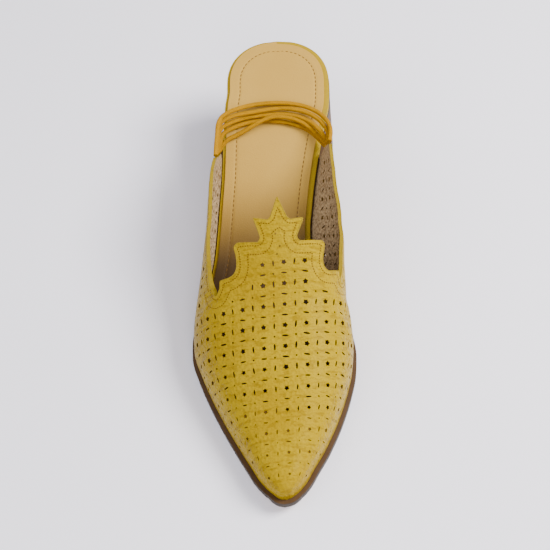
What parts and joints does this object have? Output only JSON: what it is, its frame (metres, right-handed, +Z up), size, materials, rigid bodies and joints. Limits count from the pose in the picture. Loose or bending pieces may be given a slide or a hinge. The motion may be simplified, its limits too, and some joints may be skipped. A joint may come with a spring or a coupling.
{
  "type": "babouche slipper",
  "caption": "Pointed-toe babouche mule with a perforated leather upper, a mid block heel and thin elastic heel cords.",
  "frame": {"origin": "on the floor, on the underside of the top lift, below the middle of the heel seat", "axes": "-Y towards the toe, +Y towards the back of the heel, +X medial (towards the other shoe), +Z up from the floor"},
  "size_m": [0.0881, 0.2653, 0.0794],
  "materials": {
    "sole_leather": "smooth brown sole leather",
    "yellow_leather": "grained yellow leather, semi-gloss",
    "tan_leather": "smooth tan lining leather, matt",
    "stacked_leather": "stacked leather, satin",
    "rubber": "dark rubber, matt",
    "elastic": "woven round elastic, golden"
  },
  "bodies": {
    "root": {"outsole": "sole_leather", "insole_board": "yellow_leather", "upper": "yellow_leather", "sock": "tan_leather", "heel_block": "stacked_leather", "top_lift": "rubber", "elastic_1": "elastic", "elastic_2": "elastic", "elastic_3": "elastic", "elastic_4": "elastic", "elastic_5": "elastic"}
  },
  "joints": []
}
